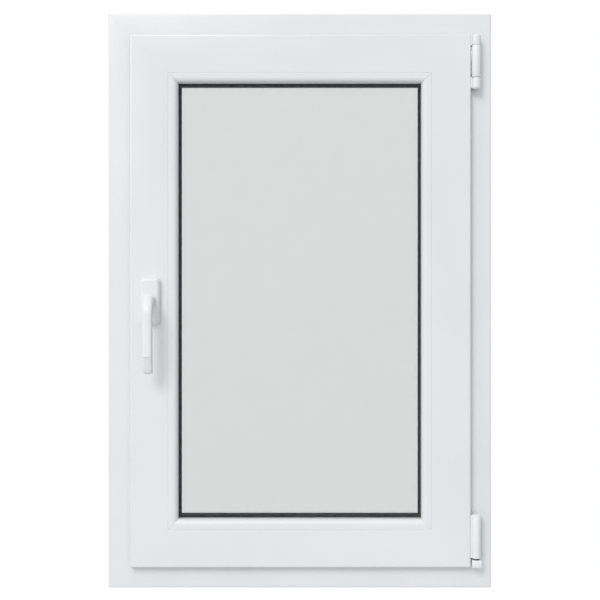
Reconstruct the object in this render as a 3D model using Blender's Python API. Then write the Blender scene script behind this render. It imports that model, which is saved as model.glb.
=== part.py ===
"""Tilt-and-turn casement window in white uPVC, 600 x 900 mm, modelled closed and locked.

X runs along the width, +Y points out of the building and +Z is up. The origin is the middle
of the sill's underside. Sizes are in millimetres, and MM turns them into Blender's metres.

Two coordinates describe every cross-section. `u` runs from an outer edge towards the middle
of the window, and `d` is the depth behind the frame's room face, so a piece in front of that
face has a negative `d`.
"""

import math
from dataclasses import dataclass

import bmesh
import bpy
from mathutils import Matrix, Vector
from mathutils.geometry import delaunay_2d_cdt

MM = 0.001
TOUCH = 0.3  # gap that stands for two pieces touching

# Frame
WIDTH = 600.0
HEIGHT = 900.0
FRAME_DEPTH = 70.0
FRAME_MARGIN = 35.5  # frame seen around the sash
FRAME_WIDTH = 67.0
UPSTAND_THICK = 20.0
WALL = 3.0
CLIP_GROOVE = (16.0, 24.0)  # the groove's two edges, from the middle of the depth
CLIP_GROOVE_DEEP = 3.0

# Sash
LIP_WIDTH = 18.0
LIP_THICK = 10.0
AIR_GAP = 12.0  # between the sash body and the frame rebate, where the hardware runs
SEAL_GAP = 4.0
SASH_WIDTH = 57.0
GLAZING_REBATE = 18.0
LEG_THICK = 14.0
BEAD_FACE = 11.6
BEAD_STEP = 4.0
GROOVE_AXIS = 13.0
GROOVE_WIDE = 16.0
GROOVE_DEEP = 3.0
ROD_CHANNEL_WIDE = 12.0
ROD_CHANNEL_DEEP = 11.0

# Glazing
PANE = 4.0
CAVITY = 16.0
GASKET = 3.0
GASKET_LIP = 2.5
GLASS_EDGE_GAP = 5.0
SPACER_HIGH = 6.5
EDGE_COVER = 12.0  # from the glass edge to the inner face of the spacer
BLOCK_LENGTH = 90.0

# Reinforcement
STEEL = 1.5
STEEL_END_GAP = 12.0

# Hinge side
HINGE_OFFSET = 10.0  # vertical hinge axis, from the sash lip's edge
HINGE_DEPTH = -11.5
HINGE_RADIUS = 7.0
UPPER_HINGE = (84.6, 66.5, 17.2, 0.9)  # ends of its three knuckles, down from the lip's top
TILT_AXIS_HIGH = 40.0
BEARING_TOP = 47.7
SLEEVE = (50.0, 118.0)
STRAP = 2.0
STRAP_FRONT = -2.6
PIN_RADIUS = 2.8
EYE_RADIUS = 4.9  # of the stay arm's steel eye, inside its cover
KNUCKLE_RADIUS = 5.2  # of the lower hinge's steel knuckle, inside its cover
LINK_REACH = 1.9  # how far the straps' links stand out beside the barrels
LINK_ROOT = 3.6  # where the links meet the knuckles, from the hinge axis
COVER_SLOT = (3.0, 3.2)  # the covers' slots: beyond the barrel, and from the hinge axis
SEAT_BELOW_AXIS = 1.7
CRADLE_HIGH = 2.6
SPINE = (2.5, 7.0, 3.2)  # the upper bearing's back: left and right of the axis, thickness
UPPER_PEG = (2.0, 8.0)  # from the axis, and in from the bearing's ends
LOWER_PEGS = (-4.0, 4.5)  # from the axis
PEG_LENGTH = 10.0
CORNER_BEARING = (7.0, 8.0, 6.5)  # to the left, right and front of the axis
FLANGE_GAP = 5.5  # between the stay's flange and the sash body's edge

# Stay
STAY_LENGTH = 300.0
STAY_PIN_RADIUS = 3.0
STAY_BAR = (3.5, 2.5, 14.0)  # height above the sash, thickness, width
STAY_SLOT = (5.5, 24.5)  # how far the pin may run to the lock side and to the hinge side
STAY_SIDE_CLEARANCE = 1.4

# Lock
PITCH_LINE = 0.24  # behind the rods' outer face, where the pinion's teeth roll
HANDLE_HIGH = 450.0
ROD_TRAVEL = 36.0
ROD = (2.4, 10.0)  # thickness and width
CAM_RADIUS = 3.25
CAM_REACH = 8.0
CAM_PLAY = 0.5
TEETH = 16
TOOTH_ROOT = 2.6  # inside the pinion's rolling circle
TOOTH_TIP = 0.6  # outside it
TOOTH_HALF = (0.24, 0.05)  # half widths at the root and the tip, as shares of the pitch
STUD_INSIDE = 1.8  # the cam's bore is this much smaller in radius than the cam
CAM_STEPS = 14
KEEPER_LENGTH = 44.0
TILT_KEEPER_LENGTH = 66.0
TILT_KEEPER_REACH = 8.0
KEEPER_GAP = 2.2  # between the keepers' walls and the sash body
CAM_ZONE = 6.0  # half the length of a keeper's wall
KEEPER_BASE = 2.0
KEEPER_WALL = 2.25
SPINDLE = 7.0
SOCKET_RADIUS = 5.0
PEG_RADIUS = 2.5
SEAL_REST = 0.7  # left between the lip seal and the frame, so that tilting clears it
TILT_PLAY = 2.6
CORNER_LEG = 40.0
LOCK_CAM_BELOW_TOP = 80.0  # from the lip's top edge
HEAD_CAM_IN = 114.5  # from the lip's lock-side edge
SILL_CAM_IN = 74.5
RACK_WINDOW = 3.2
PINION_WIDE = 6.6
ROSETTE = (30.0, 72.0, 11.0)
SCREW_SPACING = 43.0
SCREW_RADIUS = 2.5
GEARBOX = (15.0, 12.0, 58.0)  # beyond the spindle, thickness, height
LEVER_LENGTH = 110.0
LEVER_BEND = 20.0
GRIP = (15.5, 12.5)
GRIP_DEPTH = 56.0  # grip's middle in front of the frame's room face
LEVER_SIDES = 16
LEVER_SQUARENESS = 0.72  # exponent of the grip's rounded section: 1 is an ellipse
NECK_RADIUS = 8.2
FACET_TILT = 0.3
SPINDLE_IN_LEVER = 16.0
HUB_RADIUS = 6.2

# Drainage
DRAIN_X = 150.0
DRAIN_LONG = 26.0
DRAIN_HIGH = 22.0
DRAIN_CAP = (40.0, 13.0, 5.0)

ROOM_FACE = -FRAME_DEPTH / 2
LIP_FRONT = -(SEAL_GAP + LIP_THICK)
LIP_BACK = -SEAL_GAP
SASH_BACK = FRAME_DEPTH - UPSTAND_THICK - SEAL_GAP
FRAME_FACE = FRAME_MARGIN + LIP_WIDTH - AIR_GAP
LEG_FRONT = SASH_BACK - LEG_THICK
OUTER_PANE = LEG_FRONT - GASKET - PANE
INNER_PANE = OUTER_PANE - CAVITY - PANE
BEAD_BACK = INNER_PANE - GASKET


@dataclass(frozen=True)
class Rect:
    """A rectangle seen from the room, centred on x = 0."""

    half: float
    low: float
    high: float

    def inset(self, u):
        """The rectangle that lies `u` inside this one."""
        return Rect(self.half - u, self.low + u, self.high - u)


OUTER = Rect(WIDTH / 2, 0.0, HEIGHT)
LIP = OUTER.inset(FRAME_MARGIN)
HINGE_X = LIP.half + HINGE_OFFSET
GROOVE_FLOOR = LIP_WIDTH + GROOVE_DEEP
ROD_U = GROOVE_FLOOR + TOUCH
GEAR_RADIUS = ROD_TRAVEL / math.pi
SPINDLE_X = -LIP.half + ROD_U + PITCH_LINE + GEAR_RADIUS
UPPER_HINGE_Z = tuple(LIP.high - down for down in UPPER_HINGE)
LOCK_CAM_Z = LIP.high - LOCK_CAM_BELOW_TOP
HEAD_CAM_X = -LIP.half + HEAD_CAM_IN
SILL_CAM_X = -LIP.half + SILL_CAM_IN
LOCK_ROD = (LIP.low + 115, LIP.high - 50)  # where each rod begins and ends at rest
HEAD_ROD = (-LIP.half + 65, -LIP.half + 190)
SILL_ROD = (-LIP.half + 50, -LIP.half + 200)


def clear_scene():
    """Empties the scene."""
    for thing in list(bpy.data.objects):
        bpy.data.objects.remove(thing, do_unlink=True)


def make_material(name, colour, roughness, metallic=0.0):
    """A plain material, whose name tells what the piece is made of."""
    material = bpy.data.materials.new(name)
    material.use_nodes = True
    shader = material.node_tree.nodes["Principled BSDF"]
    shader.inputs["Base Color"].default_value = (*colour, 1.0)
    shader.inputs["Roughness"].default_value = roughness
    shader.inputs["Metallic"].default_value = metallic
    return material


def make_empty(name, x, d, z, parent=None):
    """An empty on a joint's axis, which carries the pieces that move about it."""
    empty = bpy.data.objects.new(name, None)
    bpy.context.collection.objects.link(empty)
    empty.empty_display_size = 20 * MM
    place = Vector((x, ROOM_FACE + d, z)) * MM
    empty["world"] = list(place)
    if parent:
        empty.parent = parent
        place = place - Vector(parent["world"])
    empty.location = place
    return empty


def to_world(x, d, z):
    """The point at depth `d` behind the room face, in metres."""
    return Vector((x, ROOM_FACE + d, z)) * MM


def finish(name, bm, material, parent):
    """Closes a bmesh into a named object that rides on `parent`."""
    bmesh.ops.recalc_face_normals(bm, faces=bm.faces)
    mesh = bpy.data.meshes.new(name)
    bm.to_mesh(mesh)
    bm.free()
    mesh.shade_smooth()
    mesh.set_sharp_from_angle(angle=math.radians(35))
    thing = bpy.data.objects.new(name, mesh)
    bpy.context.collection.objects.link(thing)
    if material:
        mesh.materials.append(material)
    if parent:
        thing.parent = parent
        thing.matrix_parent_inverse = Matrix.Translation(-Vector(parent["world"]))
    return thing


def combine(thing, name, kind, tool):
    """Cuts `tool` out of `thing`, or joins it on, and keeps the tool out of the render."""
    tool.hide_render = True
    tool.display_type = "WIRE"
    change = thing.modifiers.new(name, "BOOLEAN")
    change.operation = kind
    change.solver = "MANIFOLD"
    change.object = tool
    return thing


def cut(thing, tool):
    """Takes `tool` out of `thing`."""
    return combine(thing, "cut", "DIFFERENCE", tool)


def join(thing, tool):
    """Adds `tool` to `thing`."""
    return combine(thing, "join", "UNION", tool)


def is_inside(point, loops):
    """True if a ray from `point` crosses the loops an odd number of times."""
    crossings = 0
    for loop in loops:
        for (ax, ay), (bx, by) in zip(loop, loop[1:] + loop[:1]):
            if (ay > point.y) != (by > point.y):
                crossings += ax + (point.y - ay) * (bx - ax) / (by - ay) > point.x
    return crossings % 2 == 1


def cap_end(bm, loops, verts):
    """Fills the flat area between an outline and its holes, which `verts` follow in order."""
    points = [Vector(point) for loop in loops for point in loop]
    edges, first = [], 0
    for loop in loops:
        count = len(loop)
        edges += [(first + i, first + (i + 1) % count) for i in range(count)]
        first += count
    filled = delaunay_2d_cdt(points, edges, [], 0, 1e-6)
    for face in filled[2]:
        if is_inside(sum((points[i] for i in face), Vector((0, 0))) / len(face), loops):
            bm.faces.new([verts[i] for i in face])


def extrude(name, outline, holes, place, material, parent=None):
    """Extrudes a 2-D outline with holes. `place(a, b, end)` gives a point at end -1 or +1."""
    bm = bmesh.new()
    loops = {end: [] for end in (-1, 1)}
    for end in loops:
        for loop in [outline, *holes]:
            loops[end].append([bm.verts.new(place(a, b, end)) for a, b in loop])
    for near, far in zip(loops[-1], loops[1]):
        for i in range(len(near)):
            j = (i + 1) % len(near)
            bm.faces.new((near[i], near[j], far[j], far[i]))
    for end in loops:
        cap_end(bm, [outline, *holes], [v for loop in loops[end] for v in loop])
    return finish(name, bm, material, parent)


def rounded(points, radii, steps=3):
    """The outline with a round corner wherever its radius isn't zero."""
    outline = []
    for i, (point, radius) in enumerate(zip(points, radii)):
        corner = Vector(point)
        if not radius:
            outline.append(tuple(corner))
            continue
        before = (Vector(points[i - 1]) - corner).normalized()
        after = (Vector(points[(i + 1) % len(points)]) - corner).normalized()
        half = before.angle(after) / 2
        centre = corner + (before + after).normalized() * radius / math.sin(half)
        arms = [corner + arm * radius / math.tan(half) - centre for arm in (before, after)]
        start, end = (math.atan2(arm.y, arm.x) for arm in arms)
        sweep = (end - start + math.pi) % (2 * math.pi) - math.pi
        for step in range(steps + 1):
            angle = start + sweep * step / steps
            outline.append(tuple(centre + radius * Vector((math.cos(angle), math.sin(angle)))))
    return outline


def rectangle(a0, a1, b0, b1):
    """The four corners between two values of each coordinate."""
    return [(a0, b0), (a1, b0), (a1, b1), (a0, b1)]


def stadium(a, b, run, width, steps=4):
    """A slot's outline, centred on (a, b), with its straight `run` along the first axis."""
    arcs = []
    for side in (1, -1):
        for step in range(steps + 1):
            angle = math.pi * (step / steps - 0.5)
            arcs.append(
                (
                    a + side * (run / 2 + width / 2 * math.cos(angle)),
                    b + side * width / 2 * math.sin(angle),
                )
            )
    return arcs


def along_side(rect, side, mitred=True, short=TOUCH / math.sqrt(2)):
    """Placing function for a length that lies along one side of `rect`."""
    middle, tall = (rect.low + rect.high) / 2, (rect.high - rect.low) / 2

    def place(u, d, end):
        back = short + (u if mitred else 0.0)
        across, up = end * (rect.half - back), middle + end * (tall - back)
        return {
            "sill": to_world(across, d, rect.low + u),
            "head": to_world(across, d, rect.high - u),
            "lock": to_world(-rect.half + u, d, up),
            "hinge": to_world(rect.half - u, d, up),
        }[side]

    return place


def between(axis, start, end):
    """Placing function for an extrusion along x, d or z from `start` to `end`."""

    def place(a, b, side):
        c = end if side > 0 else start
        return to_world(*{"x": (c, a, b), "d": (a, c, b), "z": (a, b, c)}[axis])

    return place


def box(name, x, d, z, material=None, parent=None):
    """A block between two values of x, of d and of z."""
    return extrude(name, rectangle(*x, *d), [], between("z", *z), material, parent)


def ring(name, rect, outline, material, parent):
    """One closed mitred ring around `rect`."""
    bm = bmesh.new()
    loops = []
    for sx, sz in ((-1, -1), (1, -1), (1, 1), (-1, 1)):
        loop = []
        for u, d in outline:
            z = rect.low + u if sz < 0 else rect.high - u
            loop.append(bm.verts.new(to_world(sx * (rect.half - u), d, z)))
        loops.append(loop)
    for i, near in enumerate(loops):
        far = loops[(i + 1) % len(loops)]
        for j in range(len(near)):
            k = (j + 1) % len(near)
            bm.faces.new((near[j], near[k], far[k], far[j]))
    return finish(name, bm, material, parent)


def turned(name, axis, centre, profile, material=None, parent=None, bore=0.0, steps=16):
    """A turned piece: (radius, height) points along `axis` through `centre` (x, d, z)."""
    bm = bmesh.new()
    points = list(profile)
    if bore:
        points += [(bore, profile[-1][1]), (bore, profile[0][1])]
    loops = []
    for step in range(steps):
        angle = 2 * math.pi * step / steps
        c, s = math.cos(angle), math.sin(angle)
        loop = []
        for r, h in points:
            offset = {"x": (h, r * c, r * s), "d": (r * c, h, r * s), "z": (r * c, r * s, h)}
            loop.append(bm.verts.new(to_world(*(p + q for p, q in zip(centre, offset[axis])))))
        loops.append(loop)
    count = len(points) if bore else len(points) - 1
    for i, near in enumerate(loops):
        far = loops[(i + 1) % steps]
        for j in range(count):
            k = (j + 1) % len(points)
            bm.faces.new((near[j], near[k], far[k], far[j]))
    if not bore:
        bm.faces.new([loop[0] for loop in loops])
        bm.faces.new([loop[-1] for loop in loops])
    return finish(name, bm, material, parent)


def rod_shape(radius, low, high, chamfer=0.0):
    """The profile of a plain rod for `turned`."""
    if not chamfer:
        return [(radius, low), (radius, high)]
    return [(radius - chamfer, low), (radius, low + chamfer), (radius, high - chamfer),
            (radius - chamfer, high)]


def loft(name, loops, material, parent):
    """A skin over closed loops of equal length, capped at both ends."""
    bm = bmesh.new()
    rows = [[bm.verts.new(point) for point in loop] for loop in loops]
    for near, far in zip(rows, rows[1:]):
        for j in range(len(near)):
            k = (j + 1) % len(near)
            bm.faces.new((near[j], near[k], far[k], far[j]))
    bm.faces.new(rows[0])
    bm.faces.new(rows[-1])
    return finish(name, bm, material, parent)


SIDES = ("sill", "head", "lock", "hinge")
RAIL_NAMES = {
    "frame": {"sill": "frame_sill", "head": "frame_head", "lock": "frame_lock_jamb",
              "hinge": "frame_hinge_jamb"},
    "sash": {"sill": "sash_bottom_rail", "head": "sash_top_rail", "lock": "sash_lock_stile",
             "hinge": "sash_hinge_stile"},
}


def frame_section():
    """The frame profile: room face, rebate, upstand and the two clip grooves outside."""
    middle = FRAME_DEPTH / 2
    inner, outer = CLIP_GROOVE
    rebate_back = FRAME_DEPTH - UPSTAND_THICK
    points = [
        (0, 0), (FRAME_FACE, 0), (FRAME_FACE, rebate_back), (FRAME_WIDTH, rebate_back),
        (FRAME_WIDTH, FRAME_DEPTH), (0, FRAME_DEPTH),
        (0, middle + outer), (CLIP_GROOVE_DEEP, middle + outer),
        (CLIP_GROOVE_DEEP, middle + inner), (0, middle + inner),
        (0, middle - inner), (CLIP_GROOVE_DEEP, middle - inner),
        (CLIP_GROOVE_DEEP, middle - outer), (0, middle - outer),
    ]
    radii = [3, 2.5, 0, 2.5, 1.5, 1.5, 0, 0, 0, 0, 0, 0, 0, 0]
    web = CLIP_GROOVE_DEEP + WALL
    chambers = [
        rectangle(web, FRAME_FACE - WALL, WALL, middle - inner - 2),
        rectangle(web, FRAME_FACE - WALL, middle - inner, rebate_back - WALL),
        rectangle(web, FRAME_WIDTH - WALL, rebate_back + WALL, FRAME_DEPTH - WALL),
    ]
    return rounded(points, radii), chambers


def sash_section():
    """The sash profile: overlap lip, hardware groove, glazing leg and its chambers."""
    half, rod_half = GROOVE_WIDE / 2, ROD_CHANNEL_WIDE / 2
    body_floor = LIP_WIDTH + ROD_CHANNEL_DEEP
    leg_edge = SASH_WIDTH + GLAZING_REBATE
    points = [
        (0, LIP_FRONT), (SASH_WIDTH, LIP_FRONT), (SASH_WIDTH, LEG_FRONT), (leg_edge, LEG_FRONT),
        (leg_edge, LEG_FRONT + 4), (leg_edge - 5, SASH_BACK), (LIP_WIDTH, SASH_BACK),
        (LIP_WIDTH, GROOVE_AXIS + half), (GROOVE_FLOOR, GROOVE_AXIS + half),
        (GROOVE_FLOOR, GROOVE_AXIS + rod_half), (body_floor, GROOVE_AXIS + rod_half),
        (body_floor, GROOVE_AXIS - rod_half), (GROOVE_FLOOR, GROOVE_AXIS - rod_half),
        (GROOVE_FLOOR, GROOVE_AXIS - half), (LIP_WIDTH, GROOVE_AXIS - half),
        (LIP_WIDTH, LIP_BACK), (0, LIP_BACK),
    ]
    radii = [3.5, 0.8, 0, 0, 0, 1, 1.5, 0, 0, 0, 0, 0, 0, 0, 0, 0, 1]
    inner = SASH_WIDTH - WALL
    chambers = [
        rectangle(3.5, LIP_WIDTH - 1, LIP_FRONT + WALL, LIP_BACK - WALL),
        rectangle(LIP_WIDTH + 5, inner, LIP_FRONT + WALL, GROOVE_AXIS - half - WALL),
        rectangle(body_floor + WALL, inner, 8, LEG_FRONT - 5),
        rectangle(LIP_WIDTH + 5, inner, LEG_FRONT - 2, SASH_BACK - WALL),
    ]
    return rounded(points, radii), chambers


def steel_section(chamber):
    """A steel box section that fills a profile chamber, less its fitting gap."""
    (a0, b0), (a1, b1) = chamber[0], chamber[2]
    gap = TOUCH
    outside = rectangle(a0 + gap, a1 - gap, b0 + gap, b1 - gap)
    wall = gap + STEEL
    return outside, [rectangle(a0 + wall, a1 - wall, b0 + wall, b1 - wall)]


def build_rails(kind, rect, section, steel_chamber, pvc, steel, parent):
    """Four mitred lengths of profile, each with its steel reinforcement."""
    outline, chambers = section
    tube, tube_holes = steel_section(chambers[steel_chamber])
    rails = {}
    for side in SIDES:
        name = RAIL_NAMES[kind][side]
        rails[side] = extrude(name, outline, chambers, along_side(rect, side), pvc, parent)
        end_gap = chambers[steel_chamber][2][0] + STEEL_END_GAP
        place = along_side(rect, side, mitred=False, short=end_gap)
        rails[side + "_steel"] = extrude(
            f"{kind}_steel_{side}", tube, tube_holes, place, steel, parent
        )
    return rails


def cut_frame(rails):
    """Peg holes for the two hinge bearings and the sill's drainage slots."""
    for i, (x, z) in enumerate(bearing_pegs()):
        hole = turned(f"peg_hole_{i}", "d", (x, 0, z), rod_shape(PEG_RADIUS + TOUCH, -1, PEG_LENGTH + 2))
        cut(rails["hinge"], hole)
    for side in (-1, 1):
        low, high = side * DRAIN_X - DRAIN_LONG / 2, side * DRAIN_X + DRAIN_LONG / 2
        outside = box("drain_out", (low, high), (FRAME_DEPTH - 5, FRAME_DEPTH + 1),
                      (DRAIN_HIGH - 2.5, DRAIN_HIGH + 2.5))
        inside = box("drain_in", (low, high), (FRAME_DEPTH - UPSTAND_THICK - 9,
                     FRAME_DEPTH - UPSTAND_THICK - 4), (FRAME_FACE - 5, FRAME_FACE + 1))
        cut(cut(rails["sill"], outside), inside)


def bearing_pegs():
    """Where the pegs of the upper and the lower bearing enter the hinge jamb, as (x, z)."""
    top, bottom = UPPER_HINGE_Z[3], UPPER_HINGE_Z[0]
    x, inside = HINGE_X + UPPER_PEG[0], UPPER_PEG[1]
    upper = [(x, top - inside), (x, bottom + inside)]
    lower = [(HINGE_X + side, TILT_AXIS_HIGH + 2) for side in LOWER_PEGS]
    return upper + lower


def build_drain_caps(material, parent):
    """The two caps over the sill's outer drainage slots."""
    for side, name in ((-1, "left"), (1, "right")):
        x = side * DRAIN_X
        low, high = DRAIN_HIGH - DRAIN_CAP[1] / 2, DRAIN_HIGH + DRAIN_CAP[1] / 2
        back = FRAME_DEPTH + TOUCH
        outline = rounded(
            rectangle(back, back + DRAIN_CAP[2], low, high), [0, 2.5, 2.5, 0]
        )
        ends = (x - DRAIN_CAP[0] / 2, x + DRAIN_CAP[0] / 2)
        extrude(f"drain_cap_{name}", outline, [], between("x", *ends), material, parent)


def build_keeper(name, side, at, length, zones, reach, play, material, parent):
    """A striker: a base plate on the rebate and a wall in front of the cam in each zone.

    `at` is the middle along the side, and each zone is (start, end) from there.
    """
    rebate = OUTER.inset(FRAME_FACE)
    front = GROOVE_AXIS - CAM_RADIUS - play

    def solid(label, along, d, up, *rest):
        u = (up[0] + TOUCH, up[1] + TOUCH)
        if side == "lock":
            x = (-rebate.half + u[0], -rebate.half + u[1])
            return box(label, x, d, along, *rest)
        z = (rebate.high - u[1], rebate.high - u[0])
        if side == "sill":
            z = (rebate.low + u[0], rebate.low + u[1])
        return box(label, along, d, z, *rest)

    base = (front - KEEPER_WALL, GROOVE_AXIS + 9)
    keeper = solid(name, (at - length / 2, at + length / 2), base, (0, KEEPER_BASE),
                   material, parent)
    for start, end in zones:
        wall = (front - KEEPER_WALL, front)
        join(keeper, solid(name + "_wall", (at + start, at + end), wall, (0.5, reach)))
    return keeper


def build_keepers(material, parent):
    """The keepers of the two locking cams, and the long one that guides the tilt cam."""
    zone = (-CAM_ZONE, CAM_ZONE)
    reach = AIR_GAP - KEEPER_GAP
    for name, side, at in (("keeper_lock", "lock", LOCK_CAM_Z), ("keeper_head", "head", HEAD_CAM_X)):
        build_keeper(name, side, at, KEEPER_LENGTH, [zone], reach, CAM_PLAY, material, parent)
    middle = SILL_CAM_X + ROD_TRAVEL / 2
    half = ROD_TRAVEL / 2
    zones = [(-half - CAM_ZONE, -half + CAM_ZONE), (half - CAM_ZONE, half + CAM_ZONE + 2)]
    build_keeper("tilt_keeper", "sill", middle, TILT_KEEPER_LENGTH, zones, TILT_KEEPER_REACH,
                 TILT_PLAY, material, parent)


def build_bearings(zinc, steel, parent):
    """The upper bearing with its pin, and the lower bearing that carries the sash."""
    bottom, eye_low, eye_high, top = UPPER_HINGE_Z
    centre = (HINGE_X, HINGE_DEPTH, 0)
    bearing = turned("stay_bearing", "z", centre, rod_shape(HINGE_RADIUS, eye_high + TOUCH, top, 1),
                     zinc, parent)
    lower = turned("knuckle", "z", centre, rod_shape(HINGE_RADIUS, bottom, eye_low - TOUCH, 1.5))
    left, right, thick = SPINE
    spine = box("spine", (HINGE_X - left, HINGE_X + right), (-thick, -TOUCH),
                (bottom + 1.5, top - 1.5))
    join(join(bearing, lower), spine)
    for i, (low, high) in enumerate(((bottom + 2, eye_low - 1), (eye_high + 1, top - 2))):
        join(bearing, box(f"web_{i}", (HINGE_X - left, HINGE_X + right - 1),
                          (HINGE_DEPTH, -1), (low, high)))
    cut(bearing, turned("pin_bore", "z", centre, rod_shape(PIN_RADIUS + TOUCH, bottom + 4, top + 1)))
    turned("upper_hinge_pin", "z", centre, rod_shape(PIN_RADIUS, bottom + 4 + TOUCH, top - 0.5, 0.6),
           steel, parent)

    left, right, front = CORNER_BEARING
    block = box("corner_bearing", (HINGE_X - left, HINGE_X + right), (HINGE_DEPTH - front, -TOUCH),
                (FRAME_MARGIN + 0.5, BEARING_TOP), zinc, parent)
    bevel = block.modifiers.new("edges", "BEVEL")
    bevel.width = 1.2 * MM
    bevel.segments = 2
    socket = rod_shape(SOCKET_RADIUS, TILT_AXIS_HIGH - SEAT_BELOW_AXIS, BEARING_TOP + 1)
    cut(block, turned("socket", "z", centre, socket))
    for i, (x, z) in enumerate(bearing_pegs()):
        peg = turned(f"peg_{i}", "d", (x, 0, z), rod_shape(PEG_RADIUS, -2, PEG_LENGTH, 0.6))
        join(bearing if i < 2 else block, peg)


def build_cradle(steel, parent):
    """The turning seat in the lower bearing's socket, which the hinge pin stands on."""
    seat = TILT_AXIS_HIGH - SEAT_BELOW_AXIS + TOUCH
    turned("pivot_cradle", "z", (HINGE_X, HINGE_DEPTH, 0),
           rod_shape(SOCKET_RADIUS - TOUCH, seat, seat + CRADLE_HIGH, 0.5), steel, parent)


def strap_outline(back_x):
    """Plan view of a strap that runs from a knuckle, round the lip and behind it."""
    left = HINGE_X - HINGE_RADIUS - LINK_REACH
    rear = STRAP_FRONT + STRAP
    return [
        (left, HINGE_DEPTH), (left + STRAP, HINGE_DEPTH), (left + STRAP + 0.4, rear - 0.6),
        (left + STRAP, rear), (back_x, rear), (back_x, STRAP_FRONT), (left, STRAP_FRONT),
    ]


def link_place():
    """The x and d between which a strap's link joins it to its knuckle."""
    x = (HINGE_X - HINGE_RADIUS - LINK_REACH, HINGE_X - LINK_ROOT)
    return x, (HINGE_DEPTH, HINGE_DEPTH + STRAP)


def cover_slot(name, low, high):
    """The cutter for the slot that lets a link into its cover."""
    x = (HINGE_X - HINGE_RADIUS - COVER_SLOT[0], HINGE_X - COVER_SLOT[1])
    return box(name, x, (HINGE_DEPTH - TOUCH, 0), (low, high))


def build_stay(steel, cover_material, parent):
    """The stay arm: eye and strap at the hinge, bar over the sash, and its sliding pin."""
    _, low, high, _ = UPPER_HINGE_Z
    top = LIP.high - LIP_WIDTH
    bar_low = top + STAY_BAR[0]
    bar_high = bar_low + STAY_BAR[1]
    arm = turned("stay_arm", "z", (HINGE_X, HINGE_DEPTH, 0), rod_shape(EYE_RADIUS, low + 1, high - 1),
                 steel, parent, bore=PIN_RADIUS + TOUCH)
    flange_x = LIP.half - LIP_WIDTH + FLANGE_GAP
    strap_low, strap_high = low + 2.5, high - 2.5
    strap = strap_outline(flange_x)
    join(arm, extrude("stay_strap", strap, [], between("z", strap_low, strap_high), None))
    join(arm, box("stay_link", *link_place(), (strap_low, strap_high)))
    join(arm, box("stay_flange", (flange_x, flange_x + STRAP), (STRAP_FRONT, 6),
                  (strap_low + 1, bar_high - 0.4)))
    half = STAY_BAR[2] / 2
    pin_x = HINGE_X - STAY_LENGTH
    end = flange_x + STRAP - 0.2
    outline = [
        (pin_x - half, GROOVE_AXIS - half), (end - 26, GROOVE_AXIS - half),
        (end - 12, STRAP_FRONT + 0.1), (end, STRAP_FRONT + 0.1), (end, GROOVE_AXIS - 2),
        (end - 10, GROOVE_AXIS + half), (pin_x - half, GROOVE_AXIS + half),
    ]
    bar = rounded(outline, [5, 0, 0, 0, 3, 0, 5])
    hole = stadium(pin_x, GROOVE_AXIS, 0.01, 2 * (STAY_PIN_RADIUS + TOUCH), 6)
    join(arm, extrude("stay_bar", bar, [hole], between("z", bar_low, bar_high), None))
    pin = [(STAY_PIN_RADIUS, top - ROD_CHANNEL_DEEP + 0.9), (STAY_PIN_RADIUS, bar_high + TOUCH),
           (STAY_PIN_RADIUS + 1.8, bar_high + TOUCH), (STAY_PIN_RADIUS + 1.8, bar_high + 1.8)]
    turned("stay_pin", "z", (pin_x, GROOVE_AXIS, 0), pin, steel, parent)
    cover = turned("stay_eye_cover", "z", (HINGE_X, HINGE_DEPTH, 0), rod_shape(HINGE_RADIUS, low, high),
                   cover_material, parent, bore=EYE_RADIUS + TOUCH)
    cut(cover, cover_slot("stay_slot", strap_low - 0.5, strap_high + 0.5))


def build_beads(material, parent):
    """Four mitred glazing beads with the sloping inner face."""
    start = SASH_WIDTH + TOUCH
    edge = SASH_WIDTH + GLAZING_REBATE
    outline = rounded(
        [(start, LIP_FRONT), (SASH_WIDTH + BEAD_FACE, LIP_FRONT), (edge, BEAD_BACK - BEAD_STEP),
         (edge, BEAD_BACK), (start, BEAD_BACK)],
        [0.8, 1.5, 1, 0, 0],
    )
    face, slope = SASH_WIDTH + BEAD_FACE - 1.3, BEAD_BACK - BEAD_STEP + 0.5
    chamber = [(start + 2, LIP_FRONT + 2.5), (face, LIP_FRONT + 2.5), (edge - 2.5, slope),
               (start + 2, slope)]
    for side in SIDES:
        extrude(f"glazing_bead_{side}", outline, [chamber], along_side(LIP, side), material, parent)


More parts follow.
